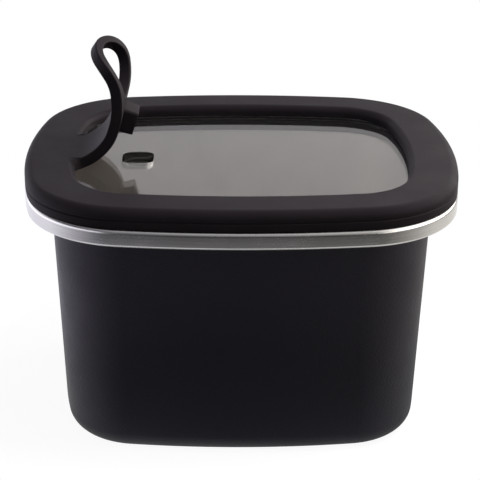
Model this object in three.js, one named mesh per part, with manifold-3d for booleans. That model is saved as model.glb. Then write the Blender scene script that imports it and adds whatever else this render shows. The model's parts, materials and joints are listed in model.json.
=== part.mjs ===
// Rounded rectangular steel food container with a lid of glass held in a silicone ring.
// A strap on the ring opens and closes a steam vent in the glass: it carries the vent's plug
// and ends in a finger loop. The strap is shown pulled open and curled, as in use.
// Millimetres, +Z up. The origin is the centre of the base, and +X runs along the longer side.

import * as THREE from 'three';
import { mergeVertices } from 'three/addons/utils/BufferGeometryUtils.js';
import Module from 'manifold-3d';

const wasm = await Module();
wasm.setup();

// Plan: a rounded rectangle whose four sides bow gently outwards. All insets are measured from it.
const PLAN_WIDTH = 160;
const PLAN_DEPTH = 138;
const CORNER_RADIUS = 40;
const FRONT_BOW_RADIUS = 327;
const SIDE_BOW_RADIUS = 173;

// Drawn steel shell: base, leaning walls, out-turned flange and folded edge. The flange is shorter
// at the two ends, so that its edge stays inside the plan there.
const END_TUCK = 1.25;
const SHELL_HEIGHT = 90.6;
const SHEET = 0.8;
const FLANGE_REACH = 10.1;
const WALL_DRAFT = THREE.MathUtils.degToRad(2.3);
const BASE_EDGE_RADIUS = 7.2;
const MOUTH_RADIUS = 2.5;
const HEM_HEIGHT = 6.1;
const HEM_BEND_RADIUS = 1.4;
const HEM_CURL_RADIUS = 1.2;
const HEM_RETURN = 1.2;

// Black coat on the outside of the walls.
const COAT = 0.3;
const COAT_BOND = 0.05;
const COAT_BASE_MARGIN = 0.6;

// Silicone ring that holds the glass and seals the mouth. At the two ends it comes almost to the rim.
const RING_END_STEP = 0.05;
const RING_INSET = 1.7;
const RING_HEIGHT = 7;
const RING_BAND = 17.3;
const RING_OUTER_ROUND = 3.2;
const RING_INNER_ROUND = 2.4;
const RING_FOOT_CHAMFER = 0.3;
const CREASE_HEIGHT = 3;
const CREASE_DEPTH = 0.45;
const SKIRT_DEPTH = 7.5;
const SKIRT_THICKNESS = 2.6;
const SKIRT_CLEARANCE = 1.2;
const SKIRT_TIP_CHAMFER = 0.5;
const UNDER_LIP = 1.6;
const SEAL_LIP_HEIGHT = 0.6;
const SEAL_LIP_ROOT = 1.8;
const SEAL_LIP_COUNT = 2;
const SEAL_LIP_CLEARANCE = 0.3;

// Tempered glass pane with its steam vent.
const GLASS_RECESS = 4.3;
const GLASS_THICKNESS = 4.2;
const GLASS_BITE = 3.6;
const GLASS_GAP = 0.1;
const VENT_LENGTH = 11.8;
const VENT_WIDTH = 12.9;
const VENT_CORNER = 2.8;

// Strap: it starts flush with the ring's top and narrows a little to the finger loop.
const STRAP_THICKNESS = 4;
const STRAP_ROOT_WIDTH = 27.8;
const STRAP_ROOT_BURY = 5;
const VENT_STATION = 23;
const LOOP_STATION = 40.5;
const LOOP_RADIUS = 13;
const LOOP_STRAND = 3.2;
const PLUG_LENGTH = 9;
const PLUG_WIDTH = 12;
const PLUG_DEPTH = 5;
const PLUG_CORNER = 1.2;
const PLUG_TAPER = 0.3;

// The strap bends at eight lines. Each is a round knuckle in a round groove, so that the strap
// can lie flat on the glass or curl up without its lengths meeting.
const KNUCKLE_GAP = 0.3;
const ROOT_LAND = 1;
const ROOT_LINKS = 3;
const PLUG_LINK = 10.5;
const LOOP_WEB = 1;
const LOOP_SKEW = THREE.MathUtils.degToRad(15.3);
const REST_BENDS = [27.8, 12.4, 14, 18.5, 13.3, 10.8, 25.6, 25.1];

// Fineness of the facets.
const SIDE_STEPS = 3;
const CORNER_STEPS = 6;
const FRONT_STEPS = 4;
const ARC_STEPS = 4;
const KNUCKLE_SIDES = 20;
const LOOP_STEPS = 16;

// A cutting shape reaches past what it cuts by this factor.
const OVERSIZE = 2;

// Levels and insets that follow from the sizes above.
const ringTop = SHELL_HEIGHT + RING_HEIGHT;
const ringInner = RING_INSET + RING_BAND;
const glassTop = ringTop - GLASS_RECESS;
const glassBottom = glassTop - GLASS_THICKNESS;
const glassInset = ringInner - GLASS_BITE;
const hemBottom = SHELL_HEIGHT - HEM_HEIGHT;
const coatBuild = COAT_BOND + COAT;
const planEnd = PLAN_WIDTH / 2;
const rimEnd = planEnd - END_TUCK;
const strapRoot = new THREE.Vector3(ringInner - planEnd, 0, ringTop - STRAP_THICKNESS / 2);
const knuckle = STRAP_THICKNESS / 2;
const groove = knuckle + KNUCKLE_GAP;
const fingerHole = LOOP_RADIUS - LOOP_STRAND;

// Points of the plan, set in by a distance, anticlockwise seen from above.
function planOutline(inset) {
  const halfDepth = PLAN_DEPTH / 2;
  const front = new THREE.Vector2(0, halfDepth - FRONT_BOW_RADIUS);
  const side = new THREE.Vector2(planEnd - SIDE_BOW_RADIUS, 0);
  const corner = cornerCentre(front, side);
  const sideEnd = corner.clone().sub(side).angle();
  const frontStart = corner.clone().sub(front).angle();
  const quarter = [
    ...arc(side, SIDE_BOW_RADIUS - inset, 0, sideEnd, SIDE_STEPS).slice(0, -1),
    ...arc(corner, CORNER_RADIUS - inset, sideEnd, frontStart, CORNER_STEPS).slice(0, -1),
    ...arc(front, FRONT_BOW_RADIUS - inset, frontStart, Math.PI / 2, FRONT_STEPS),
  ];
  const mirrored = quarter.slice(0, -1).reverse().map((p) => new THREE.Vector2(-p.x, p.y));
  const half = [...quarter, ...mirrored];
  const lower = half.slice(1, -1).map((p) => new THREE.Vector2(-p.x, -p.y));
  return [...half, ...lower];
}

// Centre of the corner arc, which touches the front bow and the side bow from inside.
function cornerCentre(front, side) {
  const toFront = FRONT_BOW_RADIUS - CORNER_RADIUS;
  const toSide = SIDE_BOW_RADIUS - CORNER_RADIUS;
  const line = side.clone().sub(front);
  const span = line.length();
  const along = (toFront ** 2 - toSide ** 2 + span ** 2) / (2 * span);
  const across = Math.sqrt(toFront ** 2 - along ** 2);
  const unit = line.divideScalar(span);
  const normal = new THREE.Vector2(unit.y, -unit.x);
  return front.clone().addScaledVector(unit, along).addScaledVector(normal, across);
}

function arc(centre, radius, from, to, steps) {
  const points = [];
  for (let i = 0; i <= steps; i += 1) {
    const angle = from + ((to - from) * i) / steps;
    points.push(new THREE.Vector2(
      centre.x + radius * Math.cos(angle),
      centre.y + radius * Math.sin(angle),
    ));
  }
  return points;
}

// A section is a list of points whose x is an inset from the plan and whose y is a height.
const at = (inset, height) => new THREE.Vector2(inset, height);

// Closed skin swept round the plan along a section. A ring's section closes on itself, and a
// tray's section starts and ends on flat floors that are filled to their middles. The outermost
// points of a section may be drawn in or out lengthwise.
function sweep(section, isRing, stretch = 1, stretchedReach = 0) {
  const rings = section.map((p) => {
    const along = p.x < stretchedReach ? stretch : 1;
    return planOutline(p.x).map((q) => [q.x * along, q.y, p.y]);
  });
  const count = rings[0].length;
  const positions = rings.flat();
  const faces = [];
  const bands = isRing ? rings.length : rings.length - 1;
  for (let band = 0; band < bands; band += 1) {
    const low = band * count;
    const high = ((band + 1) % rings.length) * count;
    for (let i = 0; i < count; i += 1) {
      const next = (i + 1) % count;
      faces.push(low + i, low + next, high + next, low + i, high + next, high + i);
    }
  }
  if (!isRing) {
    const last = (rings.length - 1) * count;
    const firstMiddle = positions.push([0, 0, section[0].y]) - 1;
    const lastMiddle = positions.push([0, 0, section[section.length - 1].y]) - 1;
    for (let i = 0; i < count; i += 1) {
      const next = (i + 1) % count;
      faces.push(firstMiddle, next, i, lastMiddle, last + i, last + next);
    }
  }
  const geometry = new THREE.BufferGeometry();
  geometry.setAttribute('position', new THREE.Float32BufferAttribute(positions.flat(), 3));
  geometry.setIndex(faces);
  return geometry;
}

// Wall and base edge at a depth into the sheet, measured from the shell's outer face.
function wallLine(depth, height) {
  const lean = (SHELL_HEIGHT - height) * Math.tan(WALL_DRAFT);
  return FLANGE_REACH + (coatBuild + depth) / Math.cos(WALL_DRAFT) + lean;
}

function baseEdgeCentre() {
  const inset = wallLine(0, BASE_EDGE_RADIUS) + BASE_EDGE_RADIUS / Math.cos(WALL_DRAFT);
  return at(inset, BASE_EDGE_RADIUS);
}

// Points from the wall round the base edge to the base, ending at a given steepness.
function baseEdge(depth, endAngle) {
  const start = Math.PI + WALL_DRAFT;
  return arc(baseEdgeCentre(), BASE_EDGE_RADIUS - depth, start, Math.PI + endAngle, ARC_STEPS + 2);
}

// The wall turns out into the flange about this centre, and both faces of the sheet share it.
function mouthCentre() {
  const height = SHELL_HEIGHT - MOUTH_RADIUS;
  return at(wallLine(SHEET, height) - MOUTH_RADIUS / Math.cos(WALL_DRAFT), height);
}

function mouthBend(radius) {
  return arc(mouthCentre(), radius, WALL_DRAFT, Math.PI / 2, ARC_STEPS);
}

// Steel shell, from the middle of the underside up the outside, round the folded edge, over the
// flange and down the inside to the middle of the floor.
function shellSection() {
  const quarter = Math.PI / 2;
  const bendCentre = at(HEM_BEND_RADIUS, SHELL_HEIGHT - HEM_BEND_RADIUS);
  const curlCentre = at(HEM_CURL_RADIUS, hemBottom + HEM_CURL_RADIUS);
  const returnTop = curlCentre.y + HEM_RETURN;
  const innerBend = HEM_BEND_RADIUS - SHEET;
  const innerCurl = HEM_CURL_RADIUS - SHEET;
  return [
    ...baseEdge(0, quarter).reverse(),
    ...mouthBend(MOUTH_RADIUS - SHEET),
    ...arc(bendCentre, innerBend, quarter, Math.PI, ARC_STEPS),
    ...arc(curlCentre, innerCurl, Math.PI, 2 * Math.PI, ARC_STEPS),
    at(2 * HEM_CURL_RADIUS - SHEET, returnTop),
    at(2 * HEM_CURL_RADIUS, returnTop),
    ...arc(curlCentre, HEM_CURL_RADIUS, 2 * Math.PI, Math.PI, ARC_STEPS + 2),
    ...arc(bendCentre, HEM_BEND_RADIUS, Math.PI, quarter, ARC_STEPS),
    ...mouthBend(MOUTH_RADIUS).reverse(),
    ...baseEdge(SHEET, quarter),
  ];
}

function shellGeometry() {
  return sweep(shellSection(), false, rimEnd / planEnd, FLANGE_REACH / 2);
}

// Outer coat: it ends under the flange and just above the base, which stays bare.
function outerCoatSection() {
  const top = mouthCentre().y;
  const reach = BASE_EDGE_RADIUS + coatBuild;
  const end = Math.asin((baseEdgeCentre().y - COAT_BASE_MARGIN) / reach);
  return [
    ...baseEdge(-coatBuild, end).reverse(),
    at(wallLine(-coatBuild, top), top),
    at(wallLine(-COAT_BOND, top), top),
    ...baseEdge(-COAT_BOND, end),
  ];
}

// Inner face of the mouth at a height, which the lid's skirt and seal lips fit inside.
function mouthFace(height) {
  return wallLine(SHEET, height);
}

// Seal lips on the outside of the skirt, from the lowest up.
function sealLips(skirtOuter, tipHeight) {
  const pitch = (SHELL_HEIGHT - MOUTH_RADIUS - tipHeight) / SEAL_LIP_COUNT;
  const points = [];
  for (let i = 0; i < SEAL_LIP_COUNT; i += 1) {
    const middle = tipHeight + pitch * (i + 0.5);
    const reach = mouthFace(middle - SEAL_LIP_HEIGHT / 2) + SEAL_LIP_CLEARANCE;
    points.push(at(skirtOuter, middle - SEAL_LIP_ROOT / 2));
    points.push(at(reach, middle - SEAL_LIP_HEIGHT / 2));
    points.push(at(reach, middle + SEAL_LIP_HEIGHT / 2));
    points.push(at(skirtOuter, middle + SEAL_LIP_ROOT / 2));
  }
  return points;
}

// Silicone ring: outer side with its crease, rounded top, groove for the pane, skirt and lips.
function ringSection() {
  const foot = SHELL_HEIGHT;
  const crease = foot + CREASE_HEIGHT;
  const slot = glassInset - GLASS_GAP;
  const slotTop = glassTop + GLASS_GAP;
  const slotBottom = glassBottom - GLASS_GAP;
  const lipBottom = slotBottom - UNDER_LIP;
  const tip = foot - SKIRT_DEPTH;
  const skirtOuter = mouthFace(foot - MOUTH_RADIUS) + SKIRT_CLEARANCE;
  const skirtInner = skirtOuter + SKIRT_THICKNESS;
  const outerRound = at(RING_INSET + RING_OUTER_ROUND, ringTop - RING_OUTER_ROUND);
  const innerRound = at(ringInner - RING_INNER_ROUND, ringTop - RING_INNER_ROUND);
  return [
    at(RING_INSET + RING_FOOT_CHAMFER, foot),
    at(RING_INSET, foot + RING_FOOT_CHAMFER),
    at(RING_INSET, crease - CREASE_DEPTH),
    at(RING_INSET + CREASE_DEPTH, crease),
    at(RING_INSET, crease + CREASE_DEPTH),
    ...arc(outerRound, RING_OUTER_ROUND, Math.PI, Math.PI / 2, ARC_STEPS + 1),
    ...arc(innerRound, RING_INNER_ROUND, Math.PI / 2, 0, ARC_STEPS),
    at(ringInner, slotTop),
    at(slot, slotTop),
    at(slot, slotBottom),
    at(ringInner, slotBottom),
    at(ringInner, lipBottom),
    at(skirtInner, lipBottom),
    at(skirtInner, tip + SKIRT_TIP_CHAMFER),
    at(skirtInner - SKIRT_TIP_CHAMFER, tip),
    at(skirtOuter + SKIRT_TIP_CHAMFER, tip),
    at(skirtOuter, tip + SKIRT_TIP_CHAMFER),
    ...sealLips(skirtOuter, tip + SKIRT_TIP_CHAMFER),
    at(skirtOuter, foot),
  ];
}

// Rounded rectangle about a point, as the outline of the vent and of the plug.
function roundedRectangle(path, x, y, length, width, corner) {
  const right = x + length / 2 - corner;
  const left = x - length / 2 + corner;
  const far = y + width / 2 - corner;
  const near = y - width / 2 + corner;
  const quarter = Math.PI / 2;
  path.absarc(right, near, corner, -quarter, 0, false);
  path.absarc(right, far, corner, 0, quarter, false);
  path.absarc(left, far, corner, quarter, 2 * quarter, false);
  path.absarc(left, near, corner, 2 * quarter, 3 * quarter, false);
  path.closePath();
  return path;
}

function glassGeometry() {
  const pane = new THREE.Shape(planOutline(glassInset));
  const vent = new THREE.Path();
  roundedRectangle(vent, strapRoot.x + VENT_STATION, 0, VENT_LENGTH, VENT_WIDTH, VENT_CORNER);
  pane.holes.push(vent);
  const options = { depth: GLASS_THICKNESS, bevelEnabled: false, curveSegments: ARC_STEPS };
  return new THREE.ExtrudeGeometry(pane, options).translate(0, 0, glassBottom);
}

// Conversions between a geometry and a solid that can be joined and cut.
function solidOf(geometry) {
  const bare = geometry.clone();
  bare.deleteAttribute('normal');
  bare.deleteAttribute('uv');
  const merged = mergeVertices(bare, 1e-4);
  const mesh = new wasm.Mesh({
    numProp: 3,
    vertProperties: new Float32Array(merged.attributes.position.array),
    triVerts: new Uint32Array(merged.index.array),
  });
  return new wasm.Manifold(mesh);
}

function geometryOf(solid) {
  const mesh = solid.getMesh();
  const geometry = new THREE.BufferGeometry();
  geometry.setAttribute('position', new THREE.BufferAttribute(mesh.vertProperties, 3));
  geometry.setIndex(new THREE.BufferAttribute(mesh.triVerts, 1));
  return geometry;
}

// The flat strap lies along +X from its root, with its mid-plane at height zero.
function slabOf(shape) {
  const options = { depth: STRAP_THICKNESS, bevelEnabled: false, curveSegments: LOOP_STEPS };
  return new THREE.ExtrudeGeometry(shape, options).translate(0, 0, -STRAP_THICKNESS / 2);
}

function flatStrap() {
  const half = STRAP_ROOT_WIDTH / 2;
  const outline = new THREE.Shape();
  outline.moveTo(-STRAP_ROOT_BURY, half);
  outline.lineTo(-STRAP_ROOT_BURY, -half);
  outline.lineTo(0, -half);
  outline.absarc(LOOP_STATION, 0, LOOP_RADIUS, -Math.PI / 2, Math.PI / 2, false);
  outline.lineTo(0, half);
  outline.closePath();
  const finger = new THREE.Path();
  finger.absarc(LOOP_STATION, 0, fingerHole, 0, 2 * Math.PI, true);
  outline.holes.push(finger);
  return solidOf(slabOf(outline));
}

// Bending lines: three before the plug, and from the plug on skewed ones that twist the loop.
function hingeLines() {
  const first = groove + ROOT_LAND;
  const plugStart = VENT_STATION - PLUG_LINK / 2;
  const plugEnd = VENT_STATION + PLUG_LINK / 2;
  const loopReach = fingerHole - groove - LOOP_WEB;
  const stations = [];
  for (let i = 0; i <= ROOT_LINKS; i += 1) {
    stations.push(first + ((plugStart - first) * i) / ROOT_LINKS);
  }
  stations.push(plugEnd, LOOP_STATION - loopReach, LOOP_STATION, LOOP_STATION + loopReach);
  return stations.map((station, i) => ({
    station,
    skew: i > ROOT_LINKS ? LOOP_SKEW : 0,
    bend: THREE.MathUtils.degToRad(REST_BENDS[i]),
  }));
}

const hinges = hingeLines();
const strap = flatStrap();
const strapReach = LOOP_STATION + LOOP_RADIUS;
const wide = Math.max(STRAP_ROOT_WIDTH / 2, LOOP_RADIUS) + groove;

// Round bar along a bending line, for the knuckle of one length and the groove of the last.
function hingeBar(hinge, radius) {
  const bar = new THREE.CylinderGeometry(radius, radius, 2 * OVERSIZE * wide, KNUCKLE_SIDES);
  return solidOf(bar.rotateZ(-hinge.skew).translate(hinge.station, 0, 0));
}

// Point of a bending line at a distance across the strap.
function lineAt(hinge, across) {
  return new THREE.Vector2(hinge.station + across * Math.tan(hinge.skew), across);
}

// Part of the strap between two bending lines, or to its end after the last line.
function strapLength(index) {
  const hinge = hinges[index];
  const next = hinges[index + 1];
  const end = next ?? { station: OVERSIZE * strapReach, skew: 0 };
  const corners = [lineAt(hinge, -wide), lineAt(end, -wide), lineAt(end, wide), lineAt(hinge, wide)];
  const between = strap.intersect(solidOf(slabOf(new THREE.Shape(corners)).scale(1, 1, OVERSIZE)));
  const length = between.add(strap.intersect(hingeBar(hinge, knuckle)));
  return next ? length.subtract(hingeBar(next, groove)) : length;
}

// One side of a length that the finger hole splits into two strands.
function strandOf(length, side) {
  const box = new THREE.BoxGeometry(2 * OVERSIZE * strapReach, wide, OVERSIZE * STRAP_THICKNESS);
  return length.intersect(solidOf(box.translate(0, (side * wide) / 2, 0)));
}

// Ring with the start of the strap moulded on, grooved for the first knuckle.
function ringGeometry() {
  const first = hinges[0];
  const corners = [
    at(-OVERSIZE * STRAP_ROOT_BURY, -wide),
    lineAt(first, -wide),
    lineAt(first, wide),
    at(-OVERSIZE * STRAP_ROOT_BURY, wide),
  ];
  const start = strap.intersect(solidOf(slabOf(new THREE.Shape(corners)).scale(1, 1, OVERSIZE)));
  const stub = start.subtract(hingeBar(first, groove)).translate(strapRoot.toArray());
  const stretch = (rimEnd - RING_END_STEP) / (planEnd - RING_INSET);
  const band = sweep(ringSection(), true, stretch, RING_INSET + RING_BAND / 2);
  return geometryOf(solidOf(band).add(stub));
}

// Plug under the strap: a tapered block that fills the vent when the strap lies flat.
function plugGeometry() {
  const outline = roundedRectangle(new THREE.Shape(), 0, 0, PLUG_LENGTH, PLUG_WIDTH, PLUG_CORNER);
  const options = { depth: PLUG_DEPTH, bevelEnabled: false, curveSegments: ARC_STEPS };
  const block = new THREE.ExtrudeGeometry(outline, options).translate(0, 0, -PLUG_DEPTH);
  const position = block.attributes.position;
  for (let i = 0; i < position.count; i += 1) {
    const share = -position.getZ(i) / PLUG_DEPTH;
    const x = position.getX(i);
    const y = position.getY(i);
    position.setX(i, x - Math.sign(x) * PLUG_TAPER * share);
    position.setY(i, y - Math.sign(y) * PLUG_TAPER * share);
  }
  return block;
}

const steel = { color: 0xc4c2bf, roughness: 0.28, metalness: 1 };
const blackCoat = { color: 0x19181c, roughness: 0.55, metalness: 0 };
const silicone = { color: 0x2b292b, roughness: 0.7, metalness: 0 };
const clearGlass = { color: 0xdfe6e4, roughness: 0.03, metalness: 0, transparent: true, opacity: 0.35 };

function piece(name, geometry, finish) {
  const mesh = new THREE.Mesh(geometry, new THREE.MeshStandardMaterial(finish));
  mesh.name = name;
  return mesh;
}

const container = new THREE.Group();
container.add(
  piece('steel_shell', shellGeometry(), steel),
  piece('outer_coating', sweep(outerCoatSection(), true), blackCoat),
);

const lid = new THREE.Group();
lid.add(
  piece('glass_pane', glassGeometry(), clearGlass),
  piece('lid_ring', ringGeometry(), silicone),
);

// The strap's lengths are nested, each turned about its bending line from the one before.
const LENGTH_NAMES = [
  'strap_root', 'strap_lower', 'strap_middle', 'strap_plug_seat',
  'loop_base', 'loop_lower', 'loop_upper', 'loop_end',
];
const SPLIT_LENGTHS = ['loop_lower', 'loop_upper'];

function addStrap(parent) {
  let carrier = parent;
  let from = strapRoot.clone();
  hinges.forEach((hinge, index) => {
    const turn = new THREE.Group();
    turn.name = `turn_${LENGTH_NAMES[index]}`;
    turn.position.copy(from);
    turn.position.x += hinge.station;
    const axis = new THREE.Vector3(-Math.sin(hinge.skew), -Math.cos(hinge.skew), 0);
    turn.setRotationFromAxisAngle(axis, hinge.bend);
    const solid = strapLength(index).translate([-hinge.station, 0, 0]);
    lengthPieces(LENGTH_NAMES[index], solid).forEach((mesh) => turn.add(mesh));
    if (LENGTH_NAMES[index] === 'strap_plug_seat') {
      const plug = piece('vent_plug', plugGeometry(), silicone);
      plug.position.set(VENT_STATION - hinge.station, 0, -STRAP_THICKNESS / 2 - KNUCKLE_GAP);
      turn.add(plug);
    }
    carrier.add(turn);
    carrier = turn;
    from = new THREE.Vector3(-hinge.station, 0, 0);
  });
}

function lengthPieces(name, solid) {
  if (!SPLIT_LENGTHS.includes(name)) {
    return [piece(name, geometryOf(solid), silicone)];
  }
  return [
    piece(`${name}_near`, geometryOf(strandOf(solid, -1)), silicone),
    piece(`${name}_far`, geometryOf(strandOf(solid, 1)), silicone),
  ];
}

addStrap(lid);

const product = new THREE.Group();
product.add(container, lid);

export default product;
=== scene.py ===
# %% [markdown]
# A rounded steel food container with black outer walls, a bare folded rim and a bare inside. Its lid is a
# glass pane in a silicone ring, and a strap on the ring opens a steam vent in the glass.
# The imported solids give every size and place. This lesson makes smooth pieces over them and gives each its
# finish. All lengths are metres, and MM turns a drawing's millimetres into them.

# %% Load the fixed frame
import json
import math

import bmesh
import bpy
import numpy as np
from mathutils import Matrix, Vector


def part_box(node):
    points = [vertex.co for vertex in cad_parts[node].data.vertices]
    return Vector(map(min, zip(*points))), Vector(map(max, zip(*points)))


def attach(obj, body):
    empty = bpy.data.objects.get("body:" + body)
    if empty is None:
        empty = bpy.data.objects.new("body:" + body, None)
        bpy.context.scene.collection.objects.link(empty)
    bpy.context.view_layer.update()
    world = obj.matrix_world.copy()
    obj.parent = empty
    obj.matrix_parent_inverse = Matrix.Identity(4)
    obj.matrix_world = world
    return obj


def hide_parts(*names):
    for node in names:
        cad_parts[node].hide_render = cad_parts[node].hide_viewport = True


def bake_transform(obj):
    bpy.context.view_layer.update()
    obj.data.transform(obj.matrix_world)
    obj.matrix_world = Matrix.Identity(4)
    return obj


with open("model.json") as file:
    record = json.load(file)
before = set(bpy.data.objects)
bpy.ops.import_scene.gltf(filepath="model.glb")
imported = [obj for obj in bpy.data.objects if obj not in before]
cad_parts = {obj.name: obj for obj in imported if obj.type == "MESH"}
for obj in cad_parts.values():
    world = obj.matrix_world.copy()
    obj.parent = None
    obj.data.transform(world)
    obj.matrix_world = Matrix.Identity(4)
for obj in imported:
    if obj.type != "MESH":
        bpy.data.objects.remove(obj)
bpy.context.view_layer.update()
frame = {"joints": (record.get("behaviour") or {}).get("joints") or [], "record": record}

MM = 0.001

# %% [markdown]
# The camera looks down at the front by about 22 degrees, from about 0.6 metres away, with a long lens. Its
# place was solved from the outlines of the rim, the ring and the base, so no shift is needed.

# %% Camera
camera_data = bpy.data.cameras.new("product_camera")
camera_data.sensor_width = 36.0
camera_data.lens = 115.84
camera = bpy.data.objects.new("product_camera", camera_data)
camera.location = (-10.49 * MM, -539.43 * MM, 281.77 * MM)
camera.rotation_euler = [math.radians(a) for a in (67.686, -0.405, -0.935)]
bpy.context.scene.collection.objects.link(camera)
bpy.context.scene.camera = camera
print("camera at", [round(v, 3) for v in camera.location], "lens", camera_data.lens)

# %% [markdown]
# Every node tree below is written in code. One helper places a node and fills its inputs, each with a plain
# value or with another node's output, and a second one does a single step of arithmetic.

# %% Helpers for node trees
def place(tree, kind, inputs=None, **settings):
    node = tree.nodes.new(kind)
    for key, value in settings.items():
        setattr(node, key, value)
    for key, value in (inputs or {}).items():
        if isinstance(value, bpy.types.NodeSocket):
            tree.links.new(value, node.inputs[key])
        else:
            node.inputs[key].default_value = value
    return node


def calc(tree, operation, first, second=0.0):
    return place(tree, "ShaderNodeMath", {0: first, 1: second}, operation=operation).outputs[0]


def tinted(tree, share, low, high):
    node = tree.nodes.new("ShaderNodeMix")
    node.data_type = "RGBA"
    tree.links.new(share, node.inputs["Factor"])
    for socket, colour in zip([s for s in node.inputs if s.type == "RGBA"], (low, high)):
        if isinstance(colour, bpy.types.NodeSocket):
            tree.links.new(colour, socket)
        else:
            socket.default_value = (*colour, 1)
    return [s for s in node.outputs if s.type == "RGBA"][0]


def blank(tree):
    tree.nodes.clear()
    return tree


print("node helpers ready")

# %% [markdown]
# The studio is white behind and at both sides, less bright overhead, and dim in front, where a photographer
# stands. Matte black then stays black on the front and brightens towards its edges, and the bare rim shows
# light and dark. Each part of it is an eased ramp over the direction that a ray looks in. Light Path tells the
# world which kind of ray is asking: matte surfaces get less of this light than mirrors and glass.

# %% Studio walls
world = bpy.data.worlds.new("studio")
bpy.context.scene.world = world
world.use_nodes = True
sky = blank(world.node_tree)
direction = place(sky, "ShaderNodeTexCoord").outputs["Generated"]
towards = place(sky, "ShaderNodeSeparateXYZ", {"Vector": direction}).outputs


def eased(tree, value, start, end, low, high):
    ends = {"Value": value, "From Min": start, "From Max": end, "To Min": low, "To Max": high}
    return place(tree, "ShaderNodeMapRange", ends, interpolation_type="SMOOTHSTEP").outputs["Result"]


def by_height(start, end, low, high):
    return eased(sky, towards["Z"], start, end, low, high)


rising = calc(sky, "ADD", towards["Y"], calc(sky, "MULTIPLY", towards["Z"], 0.35))
behind = place(sky, "ShaderNodeMapRange", {"Value": rising, "From Min": -1.0, "From Max": 0.05}).outputs[0]
overhead = calc(sky, "ADD", by_height(0.0, 0.4, 1.0, 0.67), by_height(0.6, 0.95, 0.0, -0.12))
lean = calc(sky, "ADD", by_height(-0.3, -0.12, -0.12, -0.7), by_height(0.0, 0.35, 0.0, 1.9))
sideways = calc(sky, "ADD", 1.0, calc(sky, "MULTIPLY", towards["X"], lean))
in_front = calc(sky, "ADD", by_height(-0.45, -0.1, 0.14, 0.05), by_height(-0.75, -0.5, 0.75, 0.0))
ray = place(sky, "ShaderNodeLightPath").outputs
mirrored = calc(sky, "MAXIMUM", ray["Is Glossy Ray"], ray["Is Transmission Ray"])
MATTE_SHARE = 0.45
fill = calc(sky, "ADD", MATTE_SHARE, calc(sky, "MULTIPLY", mirrored, 1 - MATTE_SHARE))
white_walls = calc(sky, "MULTIPLY", calc(sky, "MULTIPLY", behind, overhead), sideways)
room = calc(sky, "MULTIPLY", calc(sky, "MAXIMUM", white_walls, in_front), fill)
print("room of", len(sky.nodes), "nodes")

# %% [markdown]
# A white card stands at each end of the table, just above the horizon, and a key card hangs higher up at the
# right. Polished steel shows them as a white line along its bend. Only mirrored and transmitted rays see them.

# %% White cards
card_width = eased(sky, calc(sky, "ABSOLUTE", towards["X"]), 0.5, 0.65, 0.0, 1.0)
card_height = calc(sky, "MULTIPLY", by_height(0.0, 0.06, 0.0, 1.0), by_height(0.4, 0.6, 1.0, 0.0))
card_shape = calc(sky, "MULTIPLY", card_width, card_height)
card_light = calc(sky, "ADD", 1.35, calc(sky, "MULTIPLY", towards["X"], 0.3))
KEY_AT = (0.78, 0.0, 0.62)
to_key = place(sky, "ShaderNodeVectorMath", {0: direction, 1: KEY_AT}, operation="DOT_PRODUCT")
key = eased(sky, to_key.outputs["Value"], 0.82, 0.95, 0.0, 1.2)
lit_cards = calc(sky, "ADD", calc(sky, "MULTIPLY", card_shape, card_light), key)
cards = calc(sky, "MULTIPLY", lit_cards, mirrored)
strength = calc(sky, "MAXIMUM", calc(sky, "ADD", room, cards), ray["Is Camera Ray"])
print("room and cards of", len(sky.nodes), "nodes")

# %% [markdown]
# The light is a little cooler from the left and warmer from the right. The camera itself sees plain white.

# %% Colour of the light
COOL, WARM = (0.985, 0.97, 1.08), (1.03, 1.0, 0.95)
cool_to_warm = tinted(sky, eased(sky, towards["X"], -0.7, 0.7, 0.0, 1.0), COOL, WARM)
shade = tinted(sky, ray["Is Camera Ray"], cool_to_warm, (1, 1, 1))
backdrop = place(sky, "ShaderNodeBackground", {"Color": shade, "Strength": strength})
place(sky, "ShaderNodeOutputWorld", {"Surface": backdrop.outputs[0]})
print("world nodes:", len(sky.nodes))

# %% [markdown]
# One soft lamp hangs close behind the object, to the right, as over a product table. A second one, higher up
# and further to the front, lights matte surfaces from above. Mirrored and transmitted rays don't see it.

# %% Soft lamps
def soft_lamp(name, size, watts, place_at, aim_at):
    data = bpy.data.lights.new(name, "AREA")
    data.shape = "RECTANGLE"
    data.size, data.size_y = size
    data.energy = watts
    lamp = bpy.data.objects.new(name, data)
    lamp.location = place_at
    lamp.rotation_euler = (Vector(aim_at) - Vector(place_at)).to_track_quat("-Z", "Y").to_euler()
    bpy.context.scene.collection.objects.link(lamp)
    return lamp


softbox = soft_lamp("softbox", (0.16, 0.16), 0.12, (0.17, 0.17, 0.25), (0.0, 0.0, 0.09))
top_light = soft_lamp("top_light", (0.16, 0.16), 0.7, (0.14, -0.07, 0.42), (0.0, -0.03, 0.09))
top_light.visible_glossy = False
top_light.visible_transmission = False
print("lamps of", softbox.data.energy, "and", top_light.data.energy, "W")

# %% [markdown]
# The floor is a small white disc. It glows a little, so it reads as white, and it still takes the shadow under
# the base. In front of the object it glows much less for all rays but the camera's, and it soon ends, so the
# front wall mirrors the dim room and not the floor.

# %% Floor
def between(tree, share, low, high):
    ends = {"Value": share, "To Min": low, "To Max": high}
    return place(tree, "ShaderNodeMapRange", ends).outputs["Result"]


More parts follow.
